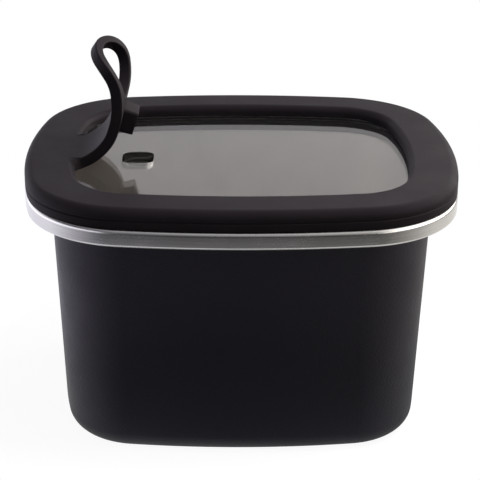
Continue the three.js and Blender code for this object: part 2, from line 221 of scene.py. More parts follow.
def studio_floor(radius):
    mesh = bpy.data.meshes.new("floor")
    turns = np.linspace(0, 2 * math.pi, 96, endpoint=False)
    rim = [(radius * math.cos(a), radius * math.sin(a), 0.0) for a in turns]
    mesh.from_pydata(rim, [], [list(range(len(rim)))])
    floor = bpy.data.objects.new("floor", mesh)
    bpy.context.scene.collection.objects.link(floor)
    finish = bpy.data.materials.new("white_sweep")
    finish.use_nodes = True
    tree = blank(finish.node_tree)
    surface = place(tree, "ShaderNodeBsdfDiffuse", {"Color": (0.25, 0.25, 0.25, 1)})
    position = place(tree, "ShaderNodeTexCoord").outputs["Object"]
    spot = place(tree, "ShaderNodeSeparateXYZ", {0: position}).outputs
    seen = place(tree, "ShaderNodeLightPath").outputs["Is Camera Ray"]
    around = eased(tree, spot["Y"], -0.066, -0.056, 0.12, 0.62)
    from_left = calc(tree, "SUBTRACT", 1.0, calc(tree, "MULTIPLY", spot["X"], 2.5))
    dim = calc(tree, "MULTIPLY", around, from_left)
    shine = place(tree, "ShaderNodeMix", {"Factor": seen, "A": dim, "B": 0.93}).outputs[0]
    glow = place(tree, "ShaderNodeEmission", {"Color": (1, 1, 1, 1), "Strength": shine})
    both = place(tree, "ShaderNodeAddShader", {0: surface.outputs[0], 1: glow.outputs[0]})
    place(tree, "ShaderNodeOutputMaterial", {"Surface": both.outputs[0]})
    mesh.materials.append(finish)
    return floor


floor = studio_floor(0.11)
bpy.context.scene.view_settings.view_transform = "Standard"
print("floor", floor.name)

# %% [markdown]
# Black powder coat, moulded silicone and brushed steel all have a fine irregular texture, each at its own
# size. One shader group makes it: noise at a stated size in metres, given out as a mask and as a height.

# %% Shared grain group
grain_group = bpy.data.node_groups.new("fine_grain", "ShaderNodeTree")
for name, kind, start in (("Size", "NodeSocketFloat", 0.001), ("Stretch", "NodeSocketVector", (1, 1, 1))):
    grain_group.interface.new_socket(name, in_out="INPUT", socket_type=kind).default_value = start
for name in ("Mask", "Height"):
    grain_group.interface.new_socket(name, in_out="OUTPUT", socket_type="NodeSocketFloat")
grain_in = place(grain_group, "NodeGroupInput").outputs
spot = place(grain_group, "ShaderNodeTexCoord").outputs["Object"]
drawn = place(grain_group, "ShaderNodeVectorMath", {0: spot, 1: grain_in["Stretch"]}, operation="MULTIPLY")
scale = calc(grain_group, "DIVIDE", 1.0, grain_in["Size"])
noise = place(
    grain_group, "ShaderNodeTexNoise",
    {"Vector": drawn.outputs[0], "Scale": scale, "Detail": 3.0, "Roughness": 0.6},
).outputs["Fac"]
mask = place(grain_group, "ShaderNodeMapRange", {"Value": noise, "From Min": 0.3, "From Max": 0.7}).outputs[0]
place(grain_group, "NodeGroupOutput", {"Mask": mask, "Height": noise})
print("group", grain_group.name, "with", len(grain_group.nodes), "nodes")


def grain(tree, size, stretch=(1, 1, 1)):
    node = tree.nodes.new("ShaderNodeGroup")
    node.node_tree = grain_group
    node.inputs["Size"].default_value = size
    node.inputs["Stretch"].default_value = stretch
    return node.outputs


# %% [markdown]
# The walls have a matte powder coat. It is sprayed dry and melted on, which leaves a dense skin with pebbles
# of less than a millimetre, a little rougher in some places than in others.

# %% Powder coat finish
def finish_named(name):
    material = bpy.data.materials.new(name)
    material.use_nodes = True
    return material, blank(material.node_tree)


def with_bump(tree, height, strength, depth):
    inputs = {"Strength": strength, "Distance": depth, "Height": height}
    return place(tree, "ShaderNodeBump", inputs).outputs[0]


def surface_with(material, tree, inputs):
    shader = place(tree, "ShaderNodeBsdfPrincipled", inputs)
    place(tree, "ShaderNodeOutputMaterial", {"Surface": shader.outputs[0]})
    print("finish", material.name)


powder_coat, tree = finish_named("black_powder_coat")
pebbles = grain(tree, 0.7 * MM)
patches = grain(tree, 22 * MM)
coat_colour = tinted(tree, pebbles["Mask"], (0.0068, 0.0064, 0.0102), (0.0112, 0.0105, 0.0162))
coat_rough = between(tree, patches["Mask"], 0.5, 0.6)
coat_normal = with_bump(tree, pebbles["Height"], 0.9, 0.16 * MM)
surface_with(powder_coat, tree, {
    "Base Color": coat_colour, "Roughness": coat_rough, "Normal": coat_normal,
    "Specular IOR Level": 0.36, "Specular Tint": (0.95, 0.88, 1, 1),
})

# %% [markdown]
# The ring and its strap are black silicone. Moulded silicone is matte and slightly waxy: it takes the fine
# texture of its mould, and pale dust clings to it.

# %% Silicone finish
silicone, tree = finish_named("black_silicone")
mould = grain(tree, 0.3 * MM)
cloudy = grain(tree, 14 * MM)
dust = grain(tree, 1.1 * MM)
dustiest = {"Value": dust["Height"], "From Min": 0.68, "From Max": 0.76}
specks = place(tree, "ShaderNodeMapRange", dustiest).outputs[0]
clouding, speckling = calc(tree, "MULTIPLY", cloudy["Mask"], 0.35), calc(tree, "MULTIPLY", specks, 0.8)
veil = calc(tree, "MAXIMUM", clouding, speckling)
rubber_colour = tinted(tree, veil, (0.02, 0.0166, 0.0196), (0.032, 0.0272, 0.0313))
rubber_rough = between(tree, cloudy["Mask"], 0.52, 0.62)
rubber_normal = with_bump(tree, mould["Height"], 0.3, 0.04 * MM)
surface_with(silicone, tree, {
    "Base Color": rubber_colour, "Roughness": rubber_rough, "Normal": rubber_normal, "IOR": 1.41,
    "Specular IOR Level": 0.14, "Specular Tint": (1, 0.8, 0.95, 1),
})

# %% [markdown]
# The flange and the folded edge are bare stainless steel. They are polished with a belt that runs round the
# rim, so the marks are long and level: the same grain, drawn out sideways and packed close in height.

# %% Steel finish
steel, tree = finish_named("belt_polished_steel")
marks = grain(tree, 1.0 * MM, (0.04, 0.04, 6.0))
clouds = grain(tree, 9 * MM)
steel_colour = tinted(tree, marks["Mask"], (0.56, 0.55, 0.54), (0.66, 0.65, 0.64))
steel_rough = between(tree, calc(tree, "MULTIPLY", marks["Mask"], clouds["Mask"]), 0.2, 0.34)
steel_normal = with_bump(tree, marks["Height"], 0.12, 0.02 * MM)
surface_with(steel, tree, {
    "Base Color": steel_colour, "Roughness": steel_rough, "Normal": steel_normal, "Metallic": 1.0,
})

# %% [markdown]
# The inside is brushed to a satin. Its marks run level too, but they are shorter and duller than the rim's,
# and broad pale stains lie over them.

# %% Satin steel finish
satin, tree = finish_named("satin_steel")
brushed = grain(tree, 0.5 * MM, (0.05, 0.05, 2.0))
stains = grain(tree, 12 * MM)
satin_colour = tinted(tree, stains["Mask"], (0.69, 0.66, 0.63), (0.76, 0.73, 0.7))
satin_rough = between(tree, brushed["Mask"], 0.4, 0.5)
satin_normal = with_bump(tree, brushed["Height"], 0.15, 0.02 * MM)
surface_with(satin, tree, {
    "Base Color": satin_colour, "Roughness": satin_rough, "Normal": satin_normal, "Metallic": 1.0,
})

# %% [markdown]
# The pane is clear tempered glass. It is a real slab with two faces, so it shows the two reflections that
# such a pane gives. A faint film of handling makes it a touch less sharp in places.

# %% Glass finish
glass, tree = finish_named("tempered_glass")
film = grain(tree, 18 * MM)
glass_rough = between(tree, film["Mask"], 0.0, 0.025)
surface_with(glass, tree, {
    "Base Color": (0.97, 0.95, 0.92, 1), "Roughness": glass_rough, "IOR": 1.5, "Transmission Weight": 0.99,
})

# %% [markdown]
# Before the pane is tempered, the sharp corners along its edge and round its vent are ground off, so that no
# crack can start there. A ground corner is frosted, and only part of the light goes through.

# %% Ground glass finish
ground_glass, tree = finish_named("ground_glass_edge")
scratches = grain(tree, 0.2 * MM)
ground_rough = between(tree, scratches["Mask"], 0.35, 0.55)
ground_normal = with_bump(tree, scratches["Height"], 0.4, 0.03 * MM)
surface_with(ground_glass, tree, {
    "Base Color": (0.9, 0.92, 0.91, 1), "Roughness": ground_rough, "Normal": ground_normal, "IOR": 1.5,
    "Transmission Weight": 0.8,
})

# %% [markdown]
# Seen from above, rim, ring, pane and walls are one family of outlines: a rounded rectangle whose sides bow
# out a little, set in by different amounts. Eight arcs make it. In one quarter, a side arc, a corner arc and a
# front arc meet where their centres line up, so the corner's centre is where two circles cross. The pane's
# edge shows how far the plan reaches at its ends, where the rim itself is drawn in a little.

# %% Plan of the rim
rim_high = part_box("steel_shell")[1]
GLASS_IN = 15.4
plan_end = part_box("glass_pane")[1].x + GLASS_IN * MM
side_radius, corner_radius, front_radius = 173 * MM, 40 * MM, 327 * MM
side_centre = Vector((plan_end - side_radius, 0))
front_centre = Vector((0, rim_high.y - front_radius))
span = side_centre - front_centre
to_front, to_side = front_radius - corner_radius, side_radius - corner_radius
along = (to_front**2 - to_side**2 + span.length_squared) / (2 * span.length)
across = math.sqrt(to_front**2 - along**2)
unit = span.normalized()
corner_centre = front_centre + unit * along + Vector((unit.y, -unit.x)) * across
side_end = math.atan2(corner_centre.y, corner_centre.x - side_centre.x)
front_start = math.atan2(corner_centre.y - front_centre.y, corner_centre.x)
print("corner centre", [round(v / MM, 2) for v in corner_centre], "mm")

# %% [markdown]
# A section drawn once and carried round this plan makes the shell, its coat, the ring and the pane's edge.
# Curve to Mesh would do it, but its corners narrow the section. So the tree below sweeps the section round a
# plain circle, and then sets every point from the arc that its angle falls on, at its own inset and height.

# %% Rim sweep tree
def socket_in(tree, name, kind):
    return tree.interface.new_socket(name, in_out="INPUT", socket_type=kind)


rim_tree = bpy.data.node_groups.new("rim_sweep", "GeometryNodeTree")
socket_in(rim_tree, "Section", "NodeSocketGeometry")
SWEEP_NUMBERS = (
    "Side Radius", "Corner Radius", "Front Radius", "Side End", "Front Start", "Stretch", "Stretched Reach",
)
for name in SWEEP_NUMBERS:
    socket_in(rim_tree, name, "NodeSocketFloat")
for name in ("Side Centre", "Corner Centre", "Front Centre"):
    socket_in(rim_tree, name, "NodeSocketVector")
socket_in(rim_tree, "Steps", "NodeSocketInt")
socket_in(rim_tree, "Finish", "NodeSocketMaterial")
rim_tree.interface.new_socket("Piece", in_out="OUTPUT", socket_type="NodeSocketGeometry")
given = place(rim_tree, "NodeGroupInput").outputs
print("sweep inputs:", [s.name for s in given if s.name])

# %% Rim sweep: the circle and the section
def captured(tree, geometry, kind, name, value):
    node = tree.nodes.new("GeometryNodeCaptureAttribute")
    node.capture_items.new(kind, name)
    tree.links.new(geometry, node.inputs["Geometry"])
    tree.links.new(value, node.inputs[name])
    return node.outputs["Geometry"], node.outputs[name]


circle = place(rim_tree, "GeometryNodeCurvePrimitiveCircle", {"Resolution": given["Steps"]}).outputs["Curve"]
number = place(rim_tree, "GeometryNodeInputIndex").outputs[0]
share = calc(rim_tree, "DIVIDE", number, given["Steps"])
path, angle = captured(rim_tree, circle, "FLOAT", "Angle", calc(rim_tree, "MULTIPLY", share, 2 * math.pi))
drawn = place(rim_tree, "GeometryNodeMeshToCurve", {"Mesh": given["Section"]}).outputs["Curve"]
here = place(rim_tree, "GeometryNodeInputPosition").outputs[0]
profile, section = captured(rim_tree, drawn, "VECTOR", "Section", here)
swept = place(rim_tree, "GeometryNodeCurveToMesh", {"Curve": path, "Profile Curve": profile}).outputs["Mesh"]
print("sweep nodes so far:", len(rim_tree.nodes))

# %% Rim sweep: points set on the arcs
cosine, sine = calc(rim_tree, "COSINE", angle), calc(rim_tree, "SINE", angle)
wide, deep = calc(rim_tree, "ABSOLUTE", cosine), calc(rim_tree, "ABSOLUTE", sine)
folded = calc(rim_tree, "ARCTAN2", deep, wide)
on_side = calc(rim_tree, "LESS_THAN", folded, given["Side End"])
on_front = calc(rim_tree, "GREATER_THAN", folded, given["Front Start"])


def chosen(kind, what):
    names = [f"{part} {what}" for part in ("Corner", "Front", "Side")]
    inputs = {"Switch": on_front, "False": given[names[0]], "True": given[names[1]]}
    inner = place(rim_tree, "GeometryNodeSwitch", inputs, input_type=kind).outputs[0]
    outer = {"Switch": on_side, "False": inner, "True": given[names[2]]}
    return place(rim_tree, "GeometryNodeSwitch", outer, input_type=kind).outputs[0]


centre = place(rim_tree, "ShaderNodeSeparateXYZ", {0: chosen("VECTOR", "Centre")}).outputs
inset = place(rim_tree, "ShaderNodeSeparateXYZ", {0: section}).outputs
reach = calc(rim_tree, "SUBTRACT", chosen("FLOAT", "Radius"), inset["X"])
out_x = calc(rim_tree, "ADD", centre["X"], calc(rim_tree, "MULTIPLY", reach, wide))
out_y = calc(rim_tree, "ADD", centre["Y"], calc(rim_tree, "MULTIPLY", reach, deep))
is_outermost = calc(rim_tree, "LESS_THAN", inset["X"], given["Stretched Reach"])
drawn_out = {"Switch": is_outermost, "False": 1.0, "True": given["Stretch"]}
lengthwise = place(rim_tree, "GeometryNodeSwitch", drawn_out, input_type="FLOAT").outputs[0]
along_x = calc(rim_tree, "MULTIPLY", out_x, lengthwise)
spot_x = calc(rim_tree, "MULTIPLY", along_x, calc(rim_tree, "SIGN", cosine))
spot_y = calc(rim_tree, "MULTIPLY", out_y, calc(rim_tree, "SIGN", sine))
spot = place(rim_tree, "ShaderNodeCombineXYZ", {0: spot_x, 1: spot_y, 2: inset["Z"]}).outputs[0]
moved = place(rim_tree, "GeometryNodeSetPosition", {"Geometry": swept, "Position": spot}).outputs[0]


def end_tree(tree, geometry, finish):
    whole = place(tree, "GeometryNodeRealizeInstances", {"Geometry": geometry}).outputs[0]
    dressed = place(tree, "GeometryNodeSetMaterial", {"Geometry": whole, "Material": finish}).outputs[0]
    place(tree, "NodeGroupOutput", {"Piece": dressed})
    print(tree.name, "has", len(tree.nodes), "nodes")


end_tree(rim_tree, moved, given["Finish"])

# %% [markdown]
# A modifier runs the tree on a section's mesh. Its inputs are set by identifier before the first evaluation,
# the result becomes a plain mesh, and the modifier goes. Open ends are filled, and edges sharper than a
# fold of 40 degrees stay crisp.

# %% Running a tree
def run_tree(piece, tree, values):
    modifier = piece.modifiers.new(tree.name, "NODES")
    modifier.node_group = tree
    for item in tree.interface.items_tree:
        if item.item_type == "SOCKET" and item.in_out == "INPUT" and item.name in values:
            modifier[item.identifier] = values[item.name]
    evaluated = piece.evaluated_get(bpy.context.evaluated_depsgraph_get())
    plain = bpy.data.meshes.new_from_object(evaluated)
    piece.modifiers.clear()
    piece.data = plain
    return piece


def new_piece(name, mesh):
    piece = bpy.data.objects.new(name, mesh)
    bpy.context.scene.collection.objects.link(piece)
    return piece


SHARP_FOLD = math.radians(40)


def closed_up(piece):
    mesh = piece.data
    work = bmesh.new()
    work.from_mesh(mesh)
    open_edges = [e for e in work.edges if e.is_boundary]
    if open_edges:
        bmesh.ops.holes_fill(work, edges=open_edges, sides=0)
    bmesh.ops.recalc_face_normals(work, faces=work.faces)
    work.to_mesh(mesh)
    work.free()
    mesh.shade_smooth()
    mesh.set_sharp_from_angle(angle=SHARP_FOLD)
    return piece


RIM_STEPS = 480


def swept_piece(name, points, is_loop, finish, stretch=1.0, stretched_reach=0.0):
    mesh = bpy.data.meshes.new(name)
    count = len(points)
    edges = [(i, (i + 1) % count) for i in range(count if is_loop else count - 1)]
    mesh.from_pydata([(x * MM, 0, z * MM) for x, z in points], edges, [])
    return run_tree(new_piece(name, mesh), rim_tree, {
        "Side Radius": side_radius, "Corner Radius": corner_radius, "Front Radius": front_radius,
        "Side End": side_end, "Front Start": front_start, "Steps": RIM_STEPS, "Finish": finish,
        "Side Centre": side_centre.to_3d(), "Corner Centre": corner_centre.to_3d(),
        "Front Centre": front_centre.to_3d(), "Stretch": stretch, "Stretched Reach": stretched_reach * MM,
    })


def report(piece):
    triangles = sum(len(p.vertices) - 2 for p in piece.data.polygons)
    low = [round(min(v.co[i] for v in piece.data.vertices) / MM, 1) for i in range(3)]
    high = [round(max(v.co[i] for v in piece.data.vertices) / MM, 1) for i in range(3)]
    print(piece.name, triangles, "triangles,", low, "to", high, "mm")


# %% [markdown]
# The container is one sheet of steel, drawn into a tub. Its walls lean in a little towards a rounded base,
# so that the punch can leave. At the mouth the sheet turns out into a flange, and the flange's edge is folded
# down and back in, so that no sharp edge is left. Both faces of the sheet are arcs about the same centres.

# %% Section of the steel sheet
def arc(centre, radius, start, end, steps):
    angles = np.linspace(start, end, steps + 1)
    return [(centre[0] + radius * math.cos(a), centre[1] + radius * math.sin(a)) for a in angles]


SHEET, DRAFT, TOP = 0.8, math.radians(2.3), rim_high.z / MM
FLANGE, COAT_BUILD = 10.1, 0.35
BASE_ROUND, MOUTH_ROUND = 7.2, 2.5
QUARTER = math.pi / 2


def wall_inset(depth, height):
    return FLANGE + (COAT_BUILD + depth) / math.cos(DRAFT) + (TOP - height) * math.tan(DRAFT)


base_centre = (wall_inset(0, BASE_ROUND) + BASE_ROUND / math.cos(DRAFT), BASE_ROUND)
mouth_height = TOP - MOUTH_ROUND
mouth_centre = (wall_inset(SHEET, mouth_height) - MOUTH_ROUND / math.cos(DRAFT), mouth_height)


def base_edge(depth, end=QUARTER):
    return arc(base_centre, BASE_ROUND - depth, math.pi + DRAFT, math.pi + end, 14)


def mouth_bend(radius):
    return arc(mouth_centre, radius, DRAFT, QUARTER, 10)


print("mouth turns about", [round(v, 2) for v in mouth_centre])

# %% Steel shell
HEM, HEM_BEND, HEM_CURL, HEM_RETURN = 6.1, 1.4, 1.2, 1.2
bend_centre = (HEM_BEND, TOP - HEM_BEND)
curl_centre = (HEM_CURL, TOP - HEM + HEM_CURL)
return_top = curl_centre[1] + HEM_RETURN
shell_points = [
    *base_edge(0)[::-1],
    *mouth_bend(MOUTH_ROUND - SHEET),
    *arc(bend_centre, HEM_BEND - SHEET, QUARTER, math.pi, 8),
    *arc(curl_centre, HEM_CURL - SHEET, math.pi, 2 * math.pi, 10),
    (2 * HEM_CURL - SHEET, return_top),
    (2 * HEM_CURL, return_top),
    *arc(curl_centre, HEM_CURL, 2 * math.pi, math.pi, 16),
    *arc(bend_centre, HEM_BEND, math.pi, QUARTER, 10),
    *mouth_bend(MOUTH_ROUND)[::-1],
    *base_edge(SHEET),
]
rim_stretch = rim_high.x / plan_end
shell = closed_up(swept_piece("container_shell", shell_points, False, steel, rim_stretch, FLANGE / 2))
shell.data.materials.append(satin)
for face in shell.data.polygons:
    faces_in = face.normal.xy.dot(face.center.xy) < 0 or face.normal.z > 0.7
    face.material_index = int(faces_in and face.center.z < mouth_height * MM)
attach(shell, "container")
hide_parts("steel_shell")
report(shell)

# %% [markdown]
# The powder coat covers the walls outside, from under the flange to the base. The inside, where the food lies,
# stays bare. The coat is a thin closed skin just off the steel, made by the same sweep.

# %% Outer coat
BOND, COAT_FOOT = 0.05, 0.12
coat_end = math.asin((BASE_ROUND - COAT_FOOT) / (BASE_ROUND + COAT_BUILD))
coat_points = [
    *base_edge(-COAT_BUILD, coat_end)[::-1],
    (wall_inset(-COAT_BUILD, mouth_height), mouth_height),
    (wall_inset(-BOND, mouth_height), mouth_height),
    *base_edge(-BOND, coat_end),
]
outer_coat = closed_up(swept_piece("outer_coat", coat_points, True, powder_coat))
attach(outer_coat, "container")
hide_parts("outer_coating")
report(outer_coat)

# %% [markdown]
# The ring is drawn as a polygon whose corners are then rounded, each by its own radius. That is how a moulded
# section is drawn: a soft outer shoulder, a crease low on the side, a groove for the glass, and a skirt with
# two lips. Each corner is given by its inset, its height and its radius, in millimetres.

# %% Rounding the corners of a section
def rounded(corners, steps=5):
    points = []
    for i, (x, z, radius) in enumerate(corners):
        here = Vector((x, z))
        before = (Vector(corners[i - 1][:2]) - here).normalized()
        after = (Vector(corners[(i + 1) % len(corners)][:2]) - here).normalized()
        half = before.angle(after) / 2
        centre = here + (before + after).normalized() * (radius / math.sin(half))
        first = here + before * (radius / math.tan(half)) - centre
        last = here + after * (radius / math.tan(half)) - centre
        turn = first.angle_signed(last)
        start = math.atan2(first.y, first.x)
        points += arc(centre, radius, start, start - turn, max(2, round(steps * max(1, radius / 0.6))))
    return points


square_section = [(0, 0, 1), (9, 0, 1), (9, 9, 1), (0, 9, 1)]
print("a square corner of radius 1 gets", len(rounded(square_section)) // 4, "points")

# %% Silicone ring
RING_IN, RING_TOP = 1.7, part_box("lid_ring")[1].z / MM
RING_BAND, RING_EDGE, RING_SHOULDER = 17.3, 3.2, 2.4
CREASE_HEIGHT, CREASE_DEPTH = 3.0, 0.45
GLASS_GAP, UNDER_LIP = 0.1, 1.6
SKIRT_DEPTH, SKIRT_THICK, SKIRT_CLEAR, SKIRT_TIP = 7.5, 2.6, 1.2, 0.5
LIP_CLEAR, LIP_HALF, LIP_ROOT_HALF = 0.3, 0.3, 0.9
RING_BORE, crease = RING_IN + RING_BAND, TOP + CREASE_HEIGHT
glass_low, glass_high = (v.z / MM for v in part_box("glass_pane"))
slot_in, slot_low, slot_high = GLASS_IN - GLASS_GAP, glass_low - GLASS_GAP, glass_high + GLASS_GAP
lip_low, tip = slot_low - UNDER_LIP, TOP - SKIRT_DEPTH
skirt_out = wall_inset(SHEET, mouth_height) + SKIRT_CLEAR
skirt_in = skirt_out + SKIRT_THICK


def seal_lip(middle):
    lip = wall_inset(SHEET, middle - LIP_HALF) + LIP_CLEAR
    return [
        (skirt_out, middle - LIP_ROOT_HALF, 0.25), (lip, middle - LIP_HALF, 0.2),
        (lip, middle + LIP_HALF, 0.2), (skirt_out, middle + LIP_ROOT_HALF, 0.25),
    ]


lips_from = tip + SKIRT_TIP
lip_pitch = (mouth_height - lips_from) / 2
ring_corners = [
    (RING_IN, TOP, 0.35),
    (RING_IN, crease - CREASE_DEPTH, 0.25),
    (RING_IN + CREASE_DEPTH, crease, 0.15),
    (RING_IN, crease + CREASE_DEPTH, 0.25),
    (RING_IN, RING_TOP, RING_EDGE), (RING_BORE, RING_TOP, RING_SHOULDER),
    (RING_BORE, slot_high, 0.35), (slot_in, slot_high, 0.3),
    (slot_in, slot_low, 0.3), (RING_BORE, slot_low, 0.35),
    (RING_BORE, lip_low, 0.5), (skirt_in, lip_low, 0.8), (skirt_in, tip, 0.8), (skirt_out, tip, 0.8),
    *seal_lip(lips_from + lip_pitch * 0.5), *seal_lip(lips_from + lip_pitch * 1.5),
    (skirt_out, TOP, 0.6),
]
ring_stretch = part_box("lid_ring")[1].x / (plan_end - RING_IN * MM)
ring_middle = (RING_IN + RING_BORE) / 2
ring_points = rounded(ring_corners)
ring = closed_up(swept_piece("lid_silicone_ring", ring_points, True, silicone, ring_stretch, ring_middle))
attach(ring, "lid")
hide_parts("lid_ring")
report(ring)

# %% [markdown]
# The pane is a slab cut to the same plan, with its corners ground off. Its vent is a rounded rectangle that is
# cut through before the glass is tempered. The sweep gives the edge band, and the vent's wall and both faces
# are added to it.

# %% Outline of the vent
def rounded_rectangle(centre_x, length, width, corner, offset, steps=10):
    points = []
    for quarter, (sx, sy) in enumerate(((1, -1), (1, 1), (-1, 1), (-1, -1))):
        corner_at = (centre_x + sx * (length / 2 - corner), sy * (width / 2 - corner))
        start = (quarter - 1) * QUARTER
        points += arc(corner_at, corner + offset, start, start + QUARTER, steps)
    return points


def ringed(work, outlines):
    rings = [[work.verts.new((x * MM, y * MM, z * MM)) for x, y in points] for points, z in outlines]
    for low, high in zip(rings, rings[1:]):
        for i in range(len(low)):
            k = (i + 1) % len(low)
            work.faces.new((low[i], low[k], high[k], high[i]))
    return rings


def loop_edges(work, ring):
    return [work.edges.get((ring[i - 1], ring[i])) for i in range(len(ring))]


WALL_HOLD = 0.1


def eased_slab(radius):
    """Offsets and levels down the edge of a slab: both its corners eased, and its wall kept straight."""
    corner = [(radius * (1 - math.sin(a)), radius * (1 - math.cos(a))) for a in np.linspace(0, QUARTER, 5)]
    corner.append((0.0, radius + WALL_HOLD))
    return [(o, glass_low + d) for o, d in corner] + [(o, glass_high - d) for o, d in corner[::-1]]


VENT_X, VENT_LENGTH, VENT_WIDTH, VENT_CORNER = -38.0, 11.6, 12.6, 3.5
vent_levels = eased_slab(0.15)
print("vent", VENT_LENGTH, "by", VENT_WIDTH, "mm at x", VENT_X)

# %% Glass pane
edge_points = [(GLASS_IN + o, z) for o, z in eased_slab(0.4)]
pane = swept_piece("lid_glass_pane", edge_points, False, glass)
work = bmesh.new()
work.from_mesh(pane.data)
faces_at = {}
for edge in work.edges:
    if edge.is_boundary:
        faces_at.setdefault(edge.verts[0].co.z > (glass_low + glass_high) / 2 * MM, []).append(edge)
vent = ringed(work, [
    (rounded_rectangle(VENT_X, VENT_LENGTH, VENT_WIDTH, VENT_CORNER, o), z) for o, z in vent_levels
])
for is_top, ring_of in ((False, vent[0]), (True, vent[-1])):
    bmesh.ops.triangle_fill(work, edges=faces_at[is_top] + loop_edges(work, ring_of), use_beauty=True)
work.to_mesh(pane.data)
work.free()
closed_up(pane)
pane.data.materials.append(ground_glass)
LEVEL, UPRIGHT = 0.999, 0.05
for face in pane.data.polygons:
    is_level = abs(face.normal.z) > LEVEL
    face.use_smooth = not is_level
    is_upright = abs(face.normal.z) < UPRIGHT
    face.material_index = 0 if is_level or is_upright else 1
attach(pane, "lid")
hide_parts("glass_pane")
report(pane)

# %% [markdown]
# The strap is moulded flat, in one piece with the ring: a band with eased edges that ends in a round finger
# loop. It is made flat first, because its outline is simple there. Each outline is repeated at several
# levels, set in at the edges, and the two faces are filled between the outer outline and the finger hole.

# %% Flat strap
STRAP_HALF, STRAP_THICK, BURIED = 13.9, 4.0, 5.0
LOOP_AT, LOOP_RADIUS, HOLE_RADIUS = 40.5, 13.0, 9.8
EASE, FACE_HOLD = 0.5, 0.2
LOOP_STEPS, HOLE_STEPS = 60, 96


def strap_outline(offset):
    half = STRAP_HALF - offset
    return [
        (offset - BURIED, half), (offset - BURIED, -half), (0, -half),
        *arc((LOOP_AT, 0), LOOP_RADIUS - offset, -QUARTER, QUARTER, LOOP_STEPS), (0, half),
    ]


def hole_outline(offset):
    return arc((LOOP_AT, 0), HOLE_RADIUS + offset, 0, 2 * math.pi, HOLE_STEPS)[:-1]


curve = [(EASE * (1 - math.sin(a)), EASE * (1 - math.cos(a))) for a in np.linspace(0, QUARTER, 6)]
lower_edge = [(EASE + FACE_HOLD, 0.0), *curve]
levels = [(o, d - STRAP_THICK / 2) for o, d in lower_edge]
levels += [(o, -z) for o, z in levels[::-1]]
flat = bmesh.new()
outer_rings = ringed(flat, [(strap_outline(o), z) for o, z in levels])
hole_rings = ringed(flat, [(hole_outline(o), z) for o, z in levels])
for k in (0, -1):
    bmesh.ops.triangle_fill(flat, edges=loop_edges(flat, outer_rings[k]) + loop_edges(flat, hole_rings[k]))
bmesh.ops.recalc_face_normals(flat, faces=flat.faces)
flat_strap = bpy.data.meshes.new("flat_strap")
flat.to_mesh(flat_strap)
flat.free()
print("flat strap", len(flat_strap.polygons), "faces")

# %% [markdown]
# The frame bends the strap at eight lines. Up to the plug the lines run straight across, and in the loop they
# run askew, because the loop is pulled with a twist.

# %% Bending lines
LENGTHS = [
    "strap_root", "strap_lower", "strap_middle", "strap_plug_seat",
    "loop_base", "loop_lower", "loop_upper", "loop_end",
]
hinges = {j["child"]: j for j in frame["joints"] if j["type"] == "hinge"}
bends = [Vector(hinges[name]["pos_m"]) for name in LENGTHS]
FIRST_STATION, STRAIGHT_BENDS = 3.3 * MM, 4
stations = [FIRST_STATION]
for before, after in zip(bends, bends[1:]):
    stations.append(stations[-1] + (after - before).length)
seat_run = (bends[4] - bends[3]).normalized()
seat_up = seat_run.cross(Vector((0, 1, 0)))
askew = -Vector(hinges["loop_base"]["axis"]).normalized()
loop_run = askew.cross(seat_up)
skew = math.asin(askew.dot(seat_run))
print("bends at", [round(s / MM, 2) for s in stations], "mm")
print("loop's bends askew by", round(math.degrees(skew), 2), "degrees")

# %% [markdown]
# The real strap bends evenly, so its middle line is eased between the bending lines' halfway points. There are
# two middle lines, one for each direction of the bending lines. They meet in the stiff length over the plug.

# %% Eased middle lines
BEND_STEPS = 25


def eased_line(corners, legs):
    """Flat runs and points of a middle line: each corner is eased over its two legs."""
    run, runs, points, ends = 0.0, [0.0], [corners[0]], []
    for i, (back, ahead) in enumerate(legs, start=1):
        before, here, after = corners[i - 1:i + 2]
        run += (here - before).length
        start = here + (before - here).normalized() * back
        stop = here + (after - here).normalized() * ahead
        ends.append((start, stop))
        for t in np.linspace(0, 1, BEND_STEPS):
            points.append(start * (1 - t) ** 2 + here * (2 * t * (1 - t)) + stop * t**2)
            runs.append(run - back + 2 * t * (1 - t) * back + t**2 * (back + ahead))
    points.append(corners[-1])
    runs.append(run + (corners[-1] - corners[-2]).length)
    kept = [0] + [i for i in range(1, len(points)) if (points[i] - points[i - 1]).length > 1e-6]
    return [runs[i] for i in kept], [points[i] for i in kept], ends


half = [(b - a) / 2 for a, b in zip(stations, stations[1:])]
SEAT_LEG = 2.6 * MM
root = bends[0] - Vector((FIRST_STATION + BURIED * MM, 0, 0))
lower_line = eased_line(
    [root, *bends[:5]],
    [(half[0], half[0]), (half[0], half[1]), (half[1], half[2]), (half[2], SEAT_LEG)],
)
square = math.cos(skew)


def on_loop_plane(point):
    return point - askew * askew.dot(point - bends[4])


LAST_TURN, LAST_LEG = math.radians(25.1), 3.0 * MM
LOOP_LEAD, LOOP_TAIL = 14 * MM, 16 * MM
loop_bends = [on_loop_plane(p) for p in bends[4:]]
last_run = (loop_bends[3] - loop_bends[2]).normalized()
tail = Matrix.Rotation(-LAST_TURN, 3, askew) @ last_run
upper_line = eased_line(
    [bends[4] - loop_run * LOOP_LEAD, *loop_bends, loop_bends[3] + tail * LOOP_TAIL],
    [(SEAT_LEG, half[4] * square), (half[4] * square, half[5] * square),
     (half[5] * square, half[6] * square), (half[6] * square, LAST_LEG)],
)
print("middle lines of", len(lower_line[1]), "and", len(upper_line[1]), "points")

# %% [markdown]
# A second tree lays a flat piece along a middle line. Each point's run along the strap picks a place on the
# line, its height goes along the line's normal, and its distance across goes along the bending lines, called
# the ruling.

